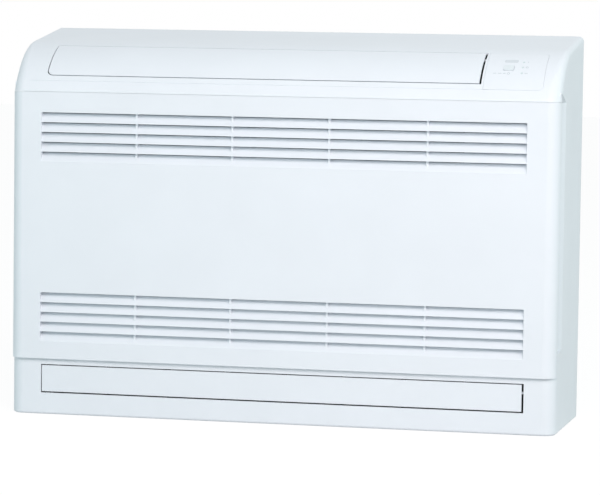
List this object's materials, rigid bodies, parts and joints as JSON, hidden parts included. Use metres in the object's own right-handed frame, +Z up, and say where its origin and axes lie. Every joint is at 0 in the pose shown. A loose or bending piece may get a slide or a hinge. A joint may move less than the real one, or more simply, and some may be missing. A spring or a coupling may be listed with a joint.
{
  "type": "floor console air conditioner indoor unit",
  "caption": "Low-wall console air conditioner indoor unit with a tilting slotted inlet panel, a curved top outlet flap with swinging vanes, a lower outlet flap and a radial fan.",
  "frame": {"origin": "on the floor under the middle of the cabinet", "axes": "+X to the right along the front, +Y from the front to the wall behind, +Z up"},
  "size_m": [0.86, 0.238, 0.6],
  "materials": {
    "casing_white": "fine satin moulded white",
    "display_gloss": "smooth pale cover",
    "indicator_lens": "translucent green lens",
    "window_pale": "smoky smooth window",
    "button_white": "satin white key",
    "outlet_dark": "moulded dark grey",
    "vane_dark": "moulded dark grey",
    "filter_frame": "moulded grey blue",
    "filter_mesh": "fine woven net",
    "fin_aluminium": "bare rolled fin stock",
    "zinc_sheet": "zinc coated sheet",
    "copper_tube": "drawn copper tube",
    "union_brass": "turned",
    "pan_light": "moulded light grey",
    "chassis_grey": "moulded grey",
    "fan_grey": "moulded grey",
    "shaft_steel": "turned",
    "motor_shell": "grey paint",
    "box_plastic": "flame proof moulding",
    "board_green": "coated board",
    "stepper_steel": "pressed can"
  },
  "bodies": {
    "housing": {"cabinet": "casing_white", "display_cover": "display_gloss", "display_lenses": "indicator_lens", "receiver_window": "window_pale", "upper_outlet_frame": "outlet_dark", "lower_outlet_duct": "outlet_dark", "filter_frame_left": "filter_frame", "filter_frame_right": "filter_frame", "filter_mesh_left": "filter_mesh", "filter_mesh_right": "filter_mesh", "coil_fins": "fin_aluminium", "coil_end_plate_left": "zinc_sheet", "coil_end_plate_right": "zinc_sheet", "control_box_cover": "zinc_sheet", "coil_bends_left": "copper_tube", "coil_bends_right": "copper_tube", "gas_pipe": "copper_tube", "liquid_pipe": "copper_tube", "gas_union": "union_brass", "liquid_union": "union_brass", "drain_pan": "pan_light", "partition": "chassis_grey", "rear_chassis": "chassis_grey", "motor_screws": "shaft_steel", "cabinet_screws": "shaft_steel", "fan_motor": "motor_shell", "motor_bracket": "motor_shell", "control_box": "box_plastic", "terminal_block": "box_plastic", "display_board": "board_green", "control_board": "board_green", "upper_flap_motor": "stepper_steel", "lower_flap_motor": "stepper_steel"},
    "front_panel": {"front_panel": "casing_white"},
    "upper_flap": {"upper_flap": "casing_white"},
    "lower_flap": {"lower_flap": "casing_white"},
    "fan": {"turbo_fan": "fan_grey", "fan_shaft": "shaft_steel", "fan_nut": "shaft_steel"},
    "vane_link": {"vane_link_bar": "vane_dark"},
    "power_button": {"power_button": "button_white"},
    "vane_01": {"upper_vane_01": "vane_dark"},
    "vane_02": {"upper_vane_02": "vane_dark"},
    "vane_03": {"upper_vane_03": "vane_dark"},
    "vane_04": {"upper_vane_04": "vane_dark"},
    "vane_05": {"upper_vane_05": "vane_dark"},
    "vane_06": {"upper_vane_06": "vane_dark"},
    "vane_07": {"upper_vane_07": "vane_dark"},
    "vane_08": {"upper_vane_08": "vane_dark"},
    "vane_09": {"upper_vane_09": "vane_dark"},
    "vane_10": {"upper_vane_10": "vane_dark"}
  },
  "joints": [
    {"name": "panel_tilt", "type": "hinge", "parent": "housing", "child": "front_panel", "pos_m": [0, -0.111, 0.0905], "axis": [1, 0, 0], "range_deg": [0, 35]},
    {"name": "upper_flap_swing", "type": "hinge", "parent": "housing", "child": "upper_flap", "pos_m": [0, -0.05277, 0.56325], "axis": [-1, 0, 0], "range_deg": [0, 80]},
    {"name": "lower_flap_swing", "type": "hinge", "parent": "housing", "child": "lower_flap", "pos_m": [0, -0.107, 0.064], "axis": [-1, 0, 0], "range_deg": [0, 75]},
    {"name": "fan_spin", "type": "hinge", "parent": "housing", "child": "fan", "pos_m": [-0.053, 0, 0.28435], "axis": [0, 1, 0], "continuous": true},
    {"name": "vane_01_swing", "type": "hinge", "parent": "housing", "child": "vane_01", "pos_m": [-0.3375, -0.05149, 0.52227], "axis": [0, 0.8124, 0.5831], "range_deg": [-25, 25]},
    {"name": "vane_02_swing", "type": "hinge", "parent": "housing", "child": "vane_02", "pos_m": [-0.2705, -0.05149, 0.52227], "axis": [0, 0.8124, 0.5831], "range_deg": [-25, 25]},
    {"name": "vane_03_swing", "type": "hinge", "parent": "housing", "child": "vane_03", "pos_m": [-0.2035, -0.05149, 0.52227], "axis": [0, 0.8124, 0.5831], "range_deg": [-25, 25]},
    {"name": "vane_04_swing", "type": "hinge", "parent": "housing", "child": "vane_04", "pos_m": [-0.1365, -0.05149, 0.52227], "axis": [0, 0.8124, 0.5831], "range_deg": [-25, 25]},
    {"name": "vane_05_swing", "type": "hinge", "parent": "housing", "child": "vane_05", "pos_m": [-0.0695, -0.05149, 0.52227], "axis": [0, 0.8124, 0.5831], "range_deg": [-25, 25]},
    {"name": "vane_06_swing", "type": "hinge", "parent": "housing", "child": "vane_06", "pos_m": [-0.0025, -0.05149, 0.52227], "axis": [0, 0.8124, 0.5831], "range_deg": [-25, 25]},
    {"name": "vane_07_swing", "type": "hinge", "parent": "housing", "child": "vane_07", "pos_m": [0.0645, -0.05149, 0.52227], "axis": [0, 0.8124, 0.5831], "range_deg": [-25, 25]},
    {"name": "vane_08_swing", "type": "hinge", "parent": "housing", "child": "vane_08", "pos_m": [0.1315, -0.05149, 0.52227], "axis": [0, 0.8124, 0.5831], "range_deg": [-25, 25]},
    {"name": "vane_09_swing", "type": "hinge", "parent": "housing", "child": "vane_09", "pos_m": [0.1985, -0.05149, 0.52227], "axis": [0, 0.8124, 0.5831], "range_deg": [-25, 25]},
    {"name": "vane_10_swing", "type": "hinge", "parent": "housing", "child": "vane_10", "pos_m": [0.2655, -0.05149, 0.52227], "axis": [0, 0.8124, 0.5831], "range_deg": [-25, 25]},
    {"name": "vane_link_slide", "type": "slide", "parent": "housing", "child": "vane_link", "axis": [1, 0, 0], "range_m": [-0.00523, 0.00523]},
    {"name": "power_button_push", "type": "slide", "parent": "housing", "child": "power_button", "axis": [0, 0.5831, -0.8124], "range_m": [0, 0.001], "stiffness_N_per_m": 400, "springref_m": -0.001}
  ],
  "couplings": [
    {"joint": "vane_01_swing", "follows": "vane_link_slide", "rad_per_m": -83.333},
    {"joint": "vane_02_swing", "follows": "vane_link_slide", "rad_per_m": -83.333},
    {"joint": "vane_03_swing", "follows": "vane_link_slide", "rad_per_m": -83.333},
    {"joint": "vane_04_swing", "follows": "vane_link_slide", "rad_per_m": -83.333},
    {"joint": "vane_05_swing", "follows": "vane_link_slide", "rad_per_m": -83.333},
    {"joint": "vane_06_swing", "follows": "vane_link_slide", "rad_per_m": -83.333},
    {"joint": "vane_07_swing", "follows": "vane_link_slide", "rad_per_m": -83.333},
    {"joint": "vane_08_swing", "follows": "vane_link_slide", "rad_per_m": -83.333},
    {"joint": "vane_09_swing", "follows": "vane_link_slide", "rad_per_m": -83.333},
    {"joint": "vane_10_swing", "follows": "vane_link_slide", "rad_per_m": -83.333}
  ]
}
